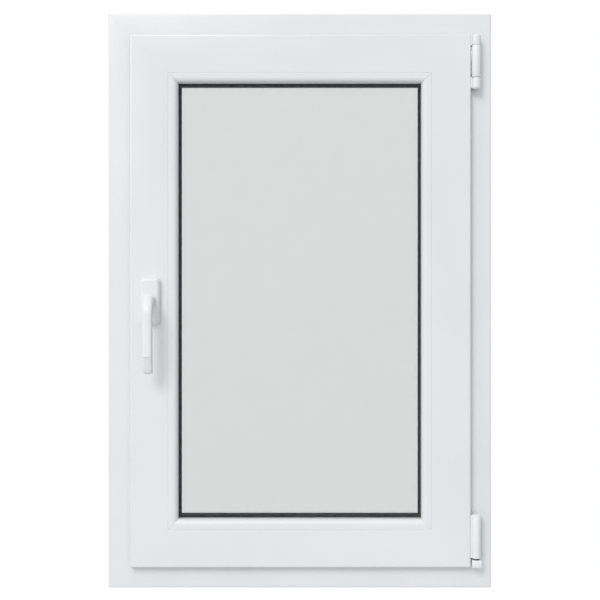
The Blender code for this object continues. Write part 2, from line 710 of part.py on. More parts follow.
def build_glazing(glass, metal, rubber, blocks, parent):
    """The sealed unit, its two gaskets and the blocks that it stands on."""
    pane = LIP.inset(SASH_WIDTH + GLASS_EDGE_GAP)
    for name, front in (("pane_inner", INNER_PANE), ("pane_outer", OUTER_PANE)):
        box(name, (-pane.half, pane.half), (front, front + PANE), (pane.low, pane.high),
            glass, parent)
    glass_edge = SASH_WIDTH + GLASS_EDGE_GAP
    sight = glass_edge + EDGE_COVER
    cavity = (INNER_PANE + PANE + TOUCH, OUTER_PANE - TOUCH)
    ring("glass_spacer", LIP, rectangle(sight - SPACER_HIGH, sight, *cavity), metal, parent)
    lip = SASH_WIDTH + GLAZING_REBATE + GASKET_LIP
    for name, front, back, tip in (
        ("glazing_gasket_inner", BEAD_BACK + TOUCH, INNER_PANE - TOUCH, 1),
        ("glazing_gasket_outer", LEG_FRONT - TOUCH, OUTER_PANE + PANE + TOUCH, -1),
    ):
        outline = [(glass_edge + 3, front), (lip - 2.5, front), (lip, front + tip * 1.2),
                   (lip, back), (glass_edge + 3, back)]
        ring(name, LIP, outline, rubber, parent)
    rebate = LIP.inset(SASH_WIDTH)
    high = (rebate.low + TOUCH, rebate.low + GLASS_EDGE_GAP - TOUCH)
    for side, name in ((-1, "left"), (1, "right")):
        x = side * (rebate.half - 35 - BLOCK_LENGTH / 2)
        box(f"setting_block_{name}", (x - BLOCK_LENGTH / 2, x + BLOCK_LENGTH / 2),
            (INNER_PANE, OUTER_PANE + PANE), high, blocks, parent)


def build_seals(rubber, frame_body, sash_body):
    """The seal on the frame's upstand, and the lip seal that the two straps press flat."""
    back = FRAME_DEPTH - UPSTAND_THICK
    ring("frame_seal", OUTER, rounded([(57, back - TOUCH), (57, SASH_BACK + 1.2),
         (60, SASH_BACK + TOUCH), (63, SASH_BACK + 1.2), (63, back - TOUCH)], [0, 0, 2, 0, 0]),
         rubber, frame_body)
    seal = ring("sash_seal", LIP, [(0.9, LIP_BACK + TOUCH), (1.4, -1.2), (3, -SEAL_REST),
                (4.6, -1.2), (5.1, LIP_BACK + TOUCH)], rubber, sash_body)
    low, high = UPPER_HINGE_Z[1], LIP.high - LIP_WIDTH + STAY_BAR[0] + STAY_BAR[1]
    for i, (bottom, top) in enumerate(((low - 1, high + 1), (SLEEVE[0] - 1, SLEEVE[1] + 1))):
        x = (LIP.half - 6, LIP.half)
        cut(seal, box(f"pressed_flat_{i}", x, (STRAP_FRONT - TOUCH, 1), (bottom, top)))


def build_corner_hinge(steel, cover_material, parent):
    """The sash's half of the lower hinge: knuckle on its pin, strap, flange and cover."""
    low, high = SLEEVE[0] + 4, SLEEVE[1] - 5
    centre = (HINGE_X, HINGE_DEPTH, 0)
    knuckle = rod_shape(KNUCKLE_RADIUS, low, high)
    hinge = turned("corner_hinge", "z", centre, knuckle, steel, parent)
    foot = TILT_AXIS_HIGH - SEAT_BELOW_AXIS + CRADLE_HIGH + 2 * TOUCH
    join(hinge, turned("hinge_foot", "z", centre, rod_shape(PIN_RADIUS, foot, low + 1, 0.8)))
    flange_x = LIP.half - LIP_WIDTH + TOUCH
    strap = strap_outline(flange_x)
    join(hinge, extrude("hinge_strap", strap, [], between("z", low + 2, high - 2), None))
    join(hinge, box("hinge_link", *link_place(), (low + 2, high - 2)))
    join(hinge, box("hinge_flange", (flange_x, flange_x + STRAP), (STRAP_FRONT, 26),
                    (low + 3, high + 40)))
    cover = turned("corner_hinge_cover", "z", centre, rod_shape(HINGE_RADIUS, *SLEEVE, 0.8),
                   cover_material, parent)
    cavity = rod_shape(KNUCKLE_RADIUS + TOUCH, SLEEVE[0] - 1, high + TOUCH)
    cut(cover, turned("cover_cavity", "z", centre, cavity))
    cut(cover, cover_slot("hinge_slot", low + 1.5, high - 1.5))


def faceplate(name, side, start, end, slots, material, parent):
    """A strip that closes the hardware groove, with a slot for each cam or pin."""
    half = GROOVE_WIDE / 2 - TOUCH
    u = (LIP_WIDTH + TOUCH, GROOVE_FLOOR - TOUCH)
    outline = rectangle(start, end, GROOVE_AXIS - half, GROOVE_AXIS + half)
    holes = [stadium((a + b) / 2, GROOVE_AXIS, b - a, width) for a, b, width in slots]

    def place(along, d, step):
        depth = u[1] if step > 0 else u[0]
        return {
            "lock": to_world(-LIP.half + depth, d, along),
            "head": to_world(along, d, LIP.high - depth),
            "sill": to_world(along, d, LIP.low + depth),
        }[side]

    return extrude(name, outline, holes, place, material, parent)


def build_faceplates(steel, parent):
    """Strips along three sides. The sill's turns the lower corner, a drive turns the upper."""
    cam = 2 * (CAM_RADIUS + 0.6)
    body = LIP.inset(LIP_WIDTH)
    left, low, high = -body.half, body.low, body.high
    faceplate("faceplate_lock", "lock", low + CORNER_LEG, high - CORNER_LEG,
              [(LOCK_CAM_Z - ROD_TRAVEL, LOCK_CAM_Z, cam)], steel, parent)
    pin_x = HINGE_X - STAY_LENGTH
    slot = 2 * (STAY_PIN_RADIUS + STAY_SIDE_CLEARANCE)
    run = (pin_x - STAY_SLOT[0] + slot / 2, pin_x + STAY_SLOT[1] - slot / 2)
    faceplate("stay_guide", "head", left + CORNER_LEG, body.half - 60,
              [(HEAD_CAM_X - ROD_TRAVEL, HEAD_CAM_X, cam), (*run, slot)], steel, parent)
    half = GROOVE_WIDE / 2 - TOUCH
    depth = (GROOVE_AXIS - half, GROOVE_AXIS + half)
    leg = CORNER_LEG - TOUCH
    thin = (TOUCH, GROOVE_DEEP - TOUCH)
    sill = faceplate("faceplate_sill", "sill", left + thin[0], 60,
                     [(SILL_CAM_X, SILL_CAM_X + ROD_TRAVEL, cam)], steel, parent)
    upright = (left + thin[0], left + thin[1])
    join(sill, box("sill_corner_leg", upright, depth, (low + thin[0], low + leg)))
    head = box("corner_drive_head", upright, depth, (high - leg, high - thin[0]), steel, parent)
    join(head, box("head_corner_leg", (left + thin[0], left + leg), depth,
                   (high - thin[1], high - thin[0])))


def gearbox_pocket(name):
    """The cutter for the pocket that takes the gearbox."""
    x = (-LIP.half + LIP_WIDTH - 1, SPINDLE_X + GEARBOX[0] + 1.5)
    d = (GROOVE_AXIS - GEARBOX[1] / 2 - 0.8, GROOVE_AXIS + GEARBOX[1] / 2 + 0.8)
    z = (HANDLE_HIGH - GEARBOX[2] / 2 - 1, HANDLE_HIGH + GEARBOX[2] / 2 + 1)
    return box(name, x, d, z)


def through_holes(name, radius, length):
    """Cutters for the two handle screws."""
    for i, side in enumerate((-1, 1)):
        centre = (SPINDLE_X, 0, HANDLE_HIGH + side * SCREW_SPACING / 2)
        yield turned(f"{name}_{i}", "d", centre, rod_shape(radius, *length), steps=12)


def build_gearbox(zinc, rails, parent):
    """Pocket and holes in the lock stile, and the gearbox case that sits in them."""
    for piece in (rails["lock"], rails["lock_steel"]):
        cut(piece, gearbox_pocket(f"pocket_{piece.name}"))
    front = (LIP_FRONT - 1, GROOVE_AXIS - GEARBOX[1] / 2)
    spindle = turned("spindle_hole", "d", (SPINDLE_X, 0, HANDLE_HIGH), rod_shape(6.5, *front))
    cut(rails["lock"], spindle)
    for hole in through_holes("screw_hole", SCREW_RADIUS + 0.6, front):
        cut(rails["lock"], hole)
    x = (-LIP.half + ROD_U + ROD[0] + TOUCH, SPINDLE_X + GEARBOX[0])
    d = (GROOVE_AXIS - GEARBOX[1] / 2, GROOVE_AXIS + GEARBOX[1] / 2)
    z = (HANDLE_HIGH - GEARBOX[2] / 2, HANDLE_HIGH + GEARBOX[2] / 2)
    case = box("gearbox_case", x, d, z, zinc, parent)
    room = GEAR_RADIUS + 2.2
    wall = (d[0] + 1.6, d[1] - 1.6)
    cut(case, box("gear_room", (x[0] - 1, SPINDLE_X + room), wall,
                  (HANDLE_HIGH - room, HANDLE_HIGH + room)))
    hub = rod_shape(HUB_RADIUS, d[0] - 1, d[1] + 1)
    cut(case, turned("hub_hole", "d", (SPINDLE_X, 0, HANDLE_HIGH), hub))
    for hole in through_holes("case_hole", SCREW_RADIUS + TOUCH, (d[0] - 1, d[1] + 1)):
        cut(case, hole)


def build_rosette(white, steel, parent):
    """The handle's base plate, hollow behind, and the two screws that hold it."""
    width, height, thick = ROSETTE
    back = LIP_FRONT - TOUCH
    loops = []
    for inset, d in ((0, back), (0, back - thick + 3.5), (1.1, back - thick + 1.2),
                     (3.4, back - thick)):
        half, tall = width / 2 - inset, height / 2 - inset
        outline = rounded(rectangle(-half, half, -tall, tall), [half - 0.4] * 4, steps=6)
        loops.append([to_world(SPINDLE_X + a, d, HANDLE_HIGH + b) for a, b in outline])
    rosette = loft("handle_rosette", loops, white, parent)
    hollow = box("rosette_room", (SPINDLE_X - width / 2 + 4, SPINDLE_X + width / 2 - 4),
                 (back - 5, back + 1),
                 (HANDLE_HIGH - height / 2 + 6.5, HANDLE_HIGH + height / 2 - 6.5))
    cut(rosette, hollow)
    neck = turned("neck_hole", "d", (SPINDLE_X, 0, HANDLE_HIGH), rod_shape(HUB_RADIUS, back - 20, back))
    cut(rosette, neck)
    head = back - TOUCH
    for side, name in ((-1, "lower"), (1, "upper")):
        centre = (SPINDLE_X, 0, HANDLE_HIGH + side * SCREW_SPACING / 2)
        shape = [(SCREW_RADIUS + 1.4, head - 2.6), (SCREW_RADIUS + 2, head - 1.4),
                 (SCREW_RADIUS + 2, head), (SCREW_RADIUS, head), (SCREW_RADIUS, GROOVE_AXIS + 4)]
        turned(f"handle_screw_{name}", "d", centre, shape, steel, parent, steps=12)


def lever_loops():
    """Sections along the lever: out of the rosette, round the bend and down the grip."""
    start = LIP_FRONT - 2 * TOUCH - ROSETTE[2]
    stations = [(start, 0.0, 0.0, 9.5, 9.5), (start - 3, 0.0, 0.0, 8.6, 8.6)]
    bend = GRIP_DEPTH - LEVER_BEND
    wide, thick = GRIP[0] / 2, GRIP[1] / 2
    for step in range(7):
        angle = math.pi / 2 * step / 6
        share = step / 6
        stations.append((-(bend + LEVER_BEND * math.sin(angle)),
                         -LEVER_BEND * (1 - math.cos(angle)), angle,
                         NECK_RADIUS + (wide - NECK_RADIUS) * share,
                         NECK_RADIUS + (thick - NECK_RADIUS) * share))
    down, tilted = math.pi / 2, math.pi / 2 - FACET_TILT
    tip = -LEVER_LENGTH
    stations += [
        (-GRIP_DEPTH, tip + 30, down, wide, thick),
        (-GRIP_DEPTH + 2.2, tip + 14, tilted, wide - 0.2, thick - 0.4),
        (-GRIP_DEPTH + 6, tip + 1.2, tilted, wide - 0.4, thick - 1.2),
        (-GRIP_DEPTH + 6.2, tip, tilted, wide - 1.6, thick - 2.4),
    ]
    loops = []
    for d, z, angle, half_wide, half_thick in stations:
        loop = []
        for i in range(LEVER_SIDES):
            turn = 2 * math.pi * i / LEVER_SIDES
            c, s = math.cos(turn), math.sin(turn)
            a = half_wide * math.copysign(abs(c) ** LEVER_SQUARENESS, c)
            b = half_thick * math.copysign(abs(s) ** LEVER_SQUARENESS, s)
            point = (SPINDLE_X + a, d - b * math.sin(angle), HANDLE_HIGH + z + b * math.cos(angle))
            loop.append(to_world(*point))
        loops.append(loop)
    return loops


def build_handle(white, steel, parent):
    """Lever, square spindle and the pinion that drives the lock rod."""
    lever = loft("handle_lever", lever_loops(), white, parent)
    start = LIP_FRONT - 2 * TOUCH - ROSETTE[2]
    half = SPINDLE / 2
    end = start - SPINDLE_IN_LEVER

    def square(name, half_side, low, high, *rest):
        return box(name, (SPINDLE_X - half_side, SPINDLE_X + half_side), (low, high),
                   (HANDLE_HIGH - half_side, HANDLE_HIGH + half_side), *rest)

    cut(lever, square("socket_square", half + TOUCH, end - TOUCH, start + 1))
    back = GROOVE_AXIS + GEARBOX[1] / 2 - 0.5
    square("spindle", half, end, back, steel, parent)
    outline = []
    pitch = 2 * math.pi / TEETH
    root, tip = GEAR_RADIUS - TOOTH_ROOT, GEAR_RADIUS + TOOTH_TIP
    wide, narrow = TOOTH_HALF
    for tooth in range(TEETH):
        for radius, part in ((root, -wide), (tip, -narrow), (tip, narrow), (root, wide)):
            angle = pitch * (tooth + part)
            outline.append((SPINDLE_X + radius * math.cos(angle),
                            HANDLE_HIGH + radius * math.sin(angle)))
    gap = half + TOUCH
    hole = rectangle(SPINDLE_X - gap, SPINDLE_X + gap, HANDLE_HIGH - gap, HANDLE_HIGH + gap)
    width = (GROOVE_AXIS - PINION_WIDE / 2, GROOVE_AXIS + PINION_WIDE / 2)
    extrude("drive_pinion", outline, [hole], between("d", *width), steel, parent)


def build_rods(steel, roller, axes):
    """The three drive rods in the sash groove, each with the cam that it carries."""
    half = ROD[1] / 2
    pitch = 2 * math.pi * GEAR_RADIUS / TEETH
    across = rectangle(GROOVE_AXIS - half, GROOVE_AXIS + half, *LOCK_ROD)
    windows = []
    count = round(ROD_TRAVEL / pitch) + 4
    for i in range(-3, count - 2):
        z = HANDLE_HIGH + i * pitch
        wide, tall = PINION_WIDE / 2 + 2 * TOUCH, RACK_WINDOW / 2
        windows.append(rectangle(GROOVE_AXIS - wide, GROOVE_AXIS + wide, z - tall, z + tall))
    near, far = -LIP.half + ROD_U, -LIP.half + ROD_U + ROD[0]
    rod = extrude("drive_rod", across, windows, between("x", near, far), steel, axes["lock"])
    high = (LIP.high - ROD_U - ROD[0], LIP.high - ROD_U)
    low = (LIP.low + ROD_U, LIP.low + ROD_U + ROD[0])
    depth = (GROOVE_AXIS - half, GROOVE_AXIS + half)
    head = box("head_rod", HEAD_ROD, depth, high, steel, axes["head"])
    sill = box("sill_rod", SILL_ROD, depth, low, steel, axes["sill"])
    reach = (TOUCH, GROOVE_DEEP + TOUCH + CAM_REACH)
    bore = CAM_RADIUS - STUD_INSIDE
    for piece, name, axis, centre, sign in (
        (rod, "lock_cam", "x", (near, GROOVE_AXIS, LOCK_CAM_Z), -1),
        (head, "head_cam", "z", (HEAD_CAM_X, GROOVE_AXIS, high[1]), 1),
        (sill, "tilt_cam", "z", (SILL_CAM_X, GROOVE_AXIS, low[0]), -1),
    ):
        span = sorted(sign * h for h in reach)
        body = {"lock_cam": "lock", "head_cam": "head", "tilt_cam": "sill"}[name]
        turned(name, axis, centre, rod_shape(CAM_RADIUS, *span, 0.6), roller, axes[body],
               bore=bore, steps=CAM_STEPS)
        pin = sorted(sign * h for h in (-0.5, reach[1] - 1))
        stud = rod_shape(bore - TOUCH, *pin)
        join(piece, turned(name + "_stud", axis, centre, stud, steps=CAM_STEPS))


def main():
    """Builds the window, with one empty on each joint's axis."""
    clear_scene()
    pvc = make_material("white uPVC", (0.80, 0.81, 0.83), 0.35)
    galvanised = make_material("galvanised steel", (0.55, 0.56, 0.57), 0.4, 1.0)
    zinc = make_material("white coated zinc", (0.82, 0.82, 0.83), 0.3)
    die_cast = make_material("die-cast zinc", (0.5, 0.5, 0.51), 0.45, 1.0)
    glass = make_material("float glass", (0.85, 0.90, 0.88), 0.02)
    aluminium = make_material("aluminium", (0.6, 0.6, 0.6), 0.35, 1.0)
    rubber = make_material("EPDM rubber", (0.02, 0.02, 0.02), 0.6)
    polymer = make_material("grey polymer", (0.35, 0.36, 0.37), 0.5)

    root = make_empty("frame_origin", 0, -ROOM_FACE, 0)
    turn = make_empty("turn_axis", HINGE_X, HINGE_DEPTH, TILT_AXIS_HIGH, root)
    tilt = make_empty("tilt_axis", HINGE_X, HINGE_DEPTH, TILT_AXIS_HIGH, turn)
    stay = make_empty("stay_axis", HINGE_X, HINGE_DEPTH, UPPER_HINGE_Z[1], turn)
    handle = make_empty("handle_axis", SPINDLE_X, LIP_FRONT, HANDLE_HIGH, tilt)
    axes = {
        "lock": make_empty("lock_slide", -LIP.half + ROD_U, GROOVE_AXIS, HANDLE_HIGH, tilt),
        "head": make_empty("head_slide", HEAD_CAM_X, GROOVE_AXIS, LIP.high - ROD_U, tilt),
        "sill": make_empty("sill_slide", SILL_CAM_X, GROOVE_AXIS, LIP.low + ROD_U, tilt),
    }

    frame = build_rails("frame", OUTER, frame_section(), 1, pvc, galvanised, root)
    cut_frame(frame)
    build_drain_caps(pvc, root)
    build_keepers(die_cast, root)
    build_bearings(zinc, galvanised, root)
    build_cradle(galvanised, turn)
    build_stay(galvanised, zinc, stay)

    sash = build_rails("sash", LIP, sash_section(), 2, pvc, galvanised, tilt)
    build_beads(pvc, tilt)
    build_glazing(glass, aluminium, rubber, polymer, tilt)
    build_seals(rubber, root, tilt)
    build_corner_hinge(galvanised, zinc, tilt)
    build_faceplates(galvanised, tilt)
    build_gearbox(die_cast, sash, tilt)
    build_rosette(zinc, galvanised, tilt)
    build_handle(zinc, galvanised, handle)
    build_rods(galvanised, die_cast, axes)


main()
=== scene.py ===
"""Looks of a tilt-and-turn casement window in white uPVC.

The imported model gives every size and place. This file dresses its pieces, adds the small
ones that the frame has no room for, and sets up a plain studio.

Two coordinates describe a profile's cross-section: `u` runs from its outer edge towards the
middle of the window and `d` is the depth behind the frame's room face, both in millimetres.
"""

from __future__ import annotations

import logging
import math
from dataclasses import dataclass
from enum import Enum
from typing import Any, Callable, Iterable, Sequence

import bmesh
import bpy
from mathutils import Matrix, Vector

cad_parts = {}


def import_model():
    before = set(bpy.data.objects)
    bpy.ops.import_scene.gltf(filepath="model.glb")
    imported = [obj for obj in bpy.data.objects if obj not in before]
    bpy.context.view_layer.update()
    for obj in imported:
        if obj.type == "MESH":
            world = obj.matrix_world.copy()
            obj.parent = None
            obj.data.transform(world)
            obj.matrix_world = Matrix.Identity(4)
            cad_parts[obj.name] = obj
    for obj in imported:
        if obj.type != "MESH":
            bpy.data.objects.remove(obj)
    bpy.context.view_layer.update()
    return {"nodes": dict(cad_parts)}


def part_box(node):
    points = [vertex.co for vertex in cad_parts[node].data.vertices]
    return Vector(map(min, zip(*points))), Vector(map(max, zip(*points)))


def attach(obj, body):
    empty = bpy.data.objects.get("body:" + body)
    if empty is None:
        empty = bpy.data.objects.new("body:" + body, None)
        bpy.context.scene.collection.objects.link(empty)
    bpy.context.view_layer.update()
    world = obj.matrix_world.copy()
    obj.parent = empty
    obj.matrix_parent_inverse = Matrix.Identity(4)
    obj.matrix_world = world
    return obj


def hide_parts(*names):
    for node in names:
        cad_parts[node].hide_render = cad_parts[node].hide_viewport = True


LOG = logging.getLogger("window")
MM = 0.001
Point2 = tuple[float, float]
Node = bpy.types.Node
Tree = bpy.types.NodeTree
Socket = bpy.types.NodeSocket


class Run(Enum):
    """The way a length was pushed through its extrusion die."""

    ACROSS = (0.01, 1.0, 1.0)
    UPRIGHT = (1.0, 1.0, 0.01)


class Body(Enum):
    """The moving groups that pieces ride on."""

    FRAME = "frame"
    SASH = "sash"
    HANDLE = "handle"


# ---------------------------------------------------------------- colours and nodes


def linear(hex_code: str) -> tuple[float, float, float, float]:
    """Turns an sRGB hex colour into linear light.

    Args:
        hex_code: six hexadecimal digits, such as "E9EAED".

    Returns:
        Red, green, blue and an alpha of 1.
    """
    channels = [int(hex_code[i : i + 2], 16) / 255 for i in (0, 2, 4)]
    red, green, blue = (
        c / 12.92 if c <= 0.04045 else ((c + 0.055) / 1.055) ** 2.4 for c in channels
    )
    return (red, green, blue, 1.0)


def add(
    tree: Tree,
    kind: str,
    settings: dict[str | int, Any] | None = None,
    links: dict[str | int, Socket] | None = None,
) -> Node:
    """Adds one node with its settings and links.

    Args:
        tree: the node tree.
        kind: the node's type name, without "ShaderNode".
        settings: socket names or numbers, or the node's own attributes, and their values.
        links: socket names or numbers, and the output that feeds each.

    Returns:
        The new node.
    """
    node = tree.nodes.new("ShaderNode" + kind)
    for key, value in (settings or {}).items():
        if isinstance(key, str) and hasattr(node, key):
            setattr(node, key, value)
        else:
            node.inputs[key].default_value = value
    for key, output in (links or {}).items():
        tree.links.new(output, node.inputs[key])
    return node


def per_metre(size_mm: float) -> float:
    """The texture scale that draws a feature of this size."""
    return 1.0 / (size_mm * MM)


# ---------------------------------------------------------------- finishes


@dataclass(frozen=True)
class Finish:
    """One real material with the surface that its making leaves."""

    name: str
    colour: str
    roughness: float
    metallic: float = 0.0
    ior: float = 1.5

    def build(self) -> bpy.types.Material:
        """Makes the material.

        Returns:
            The finished material.
        """
        material = bpy.data.materials.new(self.name)
        material.use_nodes = True
        tree = material.node_tree
        shader = tree.nodes["Principled BSDF"]
        shader.inputs["Base Color"].default_value = linear(self.colour)
        shader.inputs["Roughness"].default_value = self.roughness
        shader.inputs["Metallic"].default_value = self.metallic
        shader.inputs["IOR"].default_value = self.ior
        place = add(tree, "TexCoord")
        self.surface(tree, shader, place.outputs["Object"])
        return material

    def surface(self, tree: Tree, shader: Node, place: Socket) -> None:
        """Adds the pattern of colour, gloss and relief; for a plain finish it adds none.

        Args:
            tree: the material's tree.
            shader: the surface shader.
            place: where on the piece, in metres.
        """

    def relief(self, tree: Tree, shader: Node, height: Socket,
               depth_mm: float, strength: float) -> None:
        """Bumps the surface.

        Args:
            tree: the material's tree.
            shader: the surface shader.
            height: the height pattern.
            depth_mm: the pattern's real depth.
            strength: how much of it shows.
        """
        bump = add(tree, "Bump", {"Strength": strength, "Distance": depth_mm * MM},
                   {"Height": height})
        tree.links.new(bump.outputs["Normal"], shader.inputs["Normal"])

    def tint(self, tree: Tree, shader: Node, pattern: Socket,
             *stops: tuple[float, str]) -> None:
        """Colours the surface by a 0 to 1 pattern.

        Args:
            tree: the material's tree.
            shader: the surface shader.
            pattern: the pattern.
            stops: two values of the pattern, each with its sRGB colour.
        """
        band = add(tree, "ValToRGB", links={"Fac": pattern})
        for element, (position, colour) in zip(band.color_ramp.elements, stops):
            element.position = position
            element.color = linear(colour)
        tree.links.new(band.outputs["Color"], shader.inputs["Base Color"])

    def vary(self, tree: Tree, shader: Node, socket: str, pattern: Socket,
             low: float, high: float) -> None:
        """Drives one of the shader's numbers by a 0 to 1 pattern.

        Args:
            tree: the material's tree.
            shader: the surface shader.
            socket: the number's socket.
            pattern: the pattern.
            low: the number where the pattern is 0.
            high: the number where the pattern is 1.
        """
        scaled = add(tree, "MapRange", {"To Min": low, "To Max": high}, {"Value": pattern})
        tree.links.new(scaled.outputs["Result"], shader.inputs[socket])


@dataclass(frozen=True)
class ExtrudedUPVC(Finish):
    """Window profile in white uPVC: a satin skin with faint die lines along its length.

    The colour clouds very slightly over a hand's width, and the die lines only show as a
    soft streak in the highlights.
    """

    run: Run = Run.ACROSS
    shade: str = "E6E7EB"
    die_line_mm: float = 1.6
    cloud_mm: float = 140.0

    def surface(self, tree: Tree, shader: Node, place: Socket) -> None:
        """Adds clouding, die lines and the change of gloss that goes with them.

        Args:
            tree: the material's tree.
            shader: the surface shader.
            place: where on the piece, in metres.
        """
        stretched = add(tree, "Mapping", {"Scale": self.run.value}, {"Vector": place})
        lines = add(tree, "TexNoise", {"Scale": per_metre(self.die_line_mm), "Detail": 3.0},
                    {"Vector": stretched.outputs["Vector"]})
        cloud = add(tree, "TexNoise", {"Scale": per_metre(self.cloud_mm), "Detail": 2.0},
                    {"Vector": place})
        self.tint(tree, shader, cloud.outputs["Fac"], (0.3, self.shade), (0.7, self.colour))
        self.vary(tree, shader, "Roughness", lines.outputs["Fac"],
                  self.roughness - 0.05, self.roughness + 0.05)
        self.relief(tree, shader, lines.outputs["Fac"], 0.02, 0.25)


@dataclass(frozen=True)
class MouldedPlastic(Finish):
    """Injection-moulded plastic: a fine even spark-eroded grain and a satin gloss."""

    grain_mm: float = 0.9

    def surface(self, tree: Tree, shader: Node, place: Socket) -> None:
        """Adds the mould's grain, drawn coarser than the real 0.1 mm so that it shows.

        Args:
            tree: the material's tree.
            shader: the surface shader.
            place: where on the piece, in metres.
        """
        grain = add(tree, "TexNoise", {"Scale": per_metre(self.grain_mm), "Detail": 4.0},
                    {"Vector": place})
        self.vary(tree, shader, "Roughness", grain.outputs["Fac"],
                  self.roughness - 0.06, self.roughness + 0.06)
        self.relief(tree, shader, grain.outputs["Fac"], 0.03, 0.2)


@dataclass(frozen=True)
class PowderCoatedZinc(Finish):
    """Die-cast zinc with a baked white powder coat: glossy, with a faint orange peel."""

    shade: str = "E9EAED"
    peel_mm: float = 2.2
    cloud_mm: float = 25.0

    def surface(self, tree: Tree, shader: Node, place: Socket) -> None:
        """Adds the orange peel and the clear gloss over the pigment.

        Args:
            tree: the material's tree.
            shader: the surface shader.
            place: where on the piece, in metres.
        """
        peel = add(tree, "TexNoise", {"Scale": per_metre(self.peel_mm), "Detail": 1.5},
                   {"Vector": place})
        cloud = add(tree, "TexNoise", {"Scale": per_metre(self.cloud_mm)}, {"Vector": place})
        self.tint(tree, shader, cloud.outputs["Fac"], (0.35, self.shade), (0.65, self.colour))
        shader.inputs["Coat Weight"].default_value = 0.15
        shader.inputs["Coat Roughness"].default_value = 0.2
        self.relief(tree, shader, peel.outputs["Fac"], 0.04, 0.12)


@dataclass(frozen=True)
class GalvanisedSteel(Finish):
    """Rolled steel with a zinc coat: grey, with crystal spangle and a dull silver sheen."""

    shade: str = "8E9194"
    spangle_mm: float = 5.0
    scratch_mm: float = 0.7

    def surface(self, tree: Tree, shader: Node, place: Socket) -> None:
        """Adds the spangle's flat crystals, each of its own brightness and gloss.

        Args:
            tree: the material's tree.
            shader: the surface shader.
            place: where on the piece, in metres.
        """
        crystals = add(tree, "TexVoronoi", {"Scale": per_metre(self.spangle_mm)},
                       {"Vector": place})
        grey = add(tree, "SeparateColor", links={0: crystals.outputs["Color"]})
        self.tint(tree, shader, grey.outputs[0], (0.0, self.shade), (1.0, self.colour))
        self.vary(tree, shader, "Roughness", grey.outputs[1],
                  self.roughness - 0.08, self.roughness + 0.1)
        scratch = add(tree, "TexNoise", {"Scale": per_metre(self.scratch_mm), "Detail": 5.0},
                      {"Vector": place})
        self.relief(tree, shader, scratch.outputs["Fac"], 0.02, 0.2)


@dataclass(frozen=True)
class CastMetal(Finish):
    """Bare die-cast zinc: matt grey with the die's fine pitting."""

    shade: str = "85878A"
    pit_mm: float = 0.8
    oxide_mm: float = 9.0

    def surface(self, tree: Tree, shader: Node, place: Socket) -> None:
        """Adds pits and patches of duller oxide.

        Args:
            tree: the material's tree.
            shader: the surface shader.
            place: where on the piece, in metres.
        """
        pits = add(tree, "TexNoise", {"Scale": per_metre(self.pit_mm), "Detail": 6.0},
                   {"Vector": place})
        oxide = add(tree, "TexNoise", {"Scale": per_metre(self.oxide_mm), "Detail": 3.0},
                    {"Vector": place})
        self.tint(tree, shader, oxide.outputs["Fac"], (0.35, self.shade), (0.7, self.colour))
        self.vary(tree, shader, "Roughness", oxide.outputs["Fac"],
                  self.roughness - 0.07, self.roughness + 0.12)
        self.relief(tree, shader, pits.outputs["Fac"], 0.05, 0.3)


@dataclass(frozen=True)
class SpacerAluminium(Finish):
    """Roll-formed aluminium spacer bar: mill finish, with a row of vent perforations drawn as
    dark dots of painted shade.
    """

    # the dots' colour: painted shade of the hollow bar seen through its vent perforations
    shade: str = "4E5052"
    pitch_mm: float = 3.0
    grain_mm: float = 0.6

    def surface(self, tree: Tree, shader: Node, place: Socket) -> None:
        """Adds the rolled grain, and dark dots of painted shade where the vent perforations are.

        Args:
            tree: the material's tree.
            shader: the surface shader.
            place: where on the piece, in metres.
        """
        grain = add(tree, "TexNoise", {"Scale": per_metre(self.grain_mm), "Detail": 4.0},
                    {"Vector": place})
        # painted shade: dark dots stand in for the shade inside the vent perforations
        perforation_shade = add(tree, "TexVoronoi", {"Scale": per_metre(self.pitch_mm), "Randomness": 0.0},
                   {"Vector": place})
        self.tint(tree, shader, perforation_shade.outputs["Distance"], (0.12, self.shade),
                  (0.2, self.colour))
        self.relief(tree, shader, grain.outputs["Fac"], 0.01, 0.2)


@dataclass(frozen=True)
class ExtrudedEPDM(Finish):
    """Black EPDM rubber: matt, with a slight bloom that greys it in patches."""

    shade: str = "2B2C2D"
    bloom_mm: float = 6.0
    grain_mm: float = 0.5

    def surface(self, tree: Tree, shader: Node, place: Socket) -> None:
        """Adds the bloom and the rubber's fine roughness.

        Args:
            tree: the material's tree.
            shader: the surface shader.
            place: where on the piece, in metres.
        """
        bloom = add(tree, "TexNoise", {"Scale": per_metre(self.bloom_mm), "Detail": 4.0},
                    {"Vector": place})
        self.tint(tree, shader, bloom.outputs["Fac"], (0.35, self.colour), (0.75, self.shade))
        grain = add(tree, "TexNoise", {"Scale": per_metre(self.grain_mm), "Detail": 3.0},
                    {"Vector": place})
        self.relief(tree, shader, grain.outputs["Fac"], 0.03, 0.3)


@dataclass(frozen=True)
class FloatGlass(Finish):
    """Clear float glass with a thermal coating: flat, clean, a neutral grey in depth."""

    wave_mm: float = 120.0

    def surface(self, tree: Tree, shader: Node, place: Socket) -> None:
        """Makes it see-through, with float glass's very long faint waviness.

        Args:
            tree: the material's tree.
            shader: the surface shader.
            place: where on the piece, in metres.
        """
        shader.inputs["Transmission Weight"].default_value = 1.0
        wave = add(tree, "TexNoise", {"Scale": per_metre(self.wave_mm), "Detail": 0.0},
                   {"Vector": place})
        self.relief(tree, shader, wave.outputs["Fac"], 0.02, 0.04)


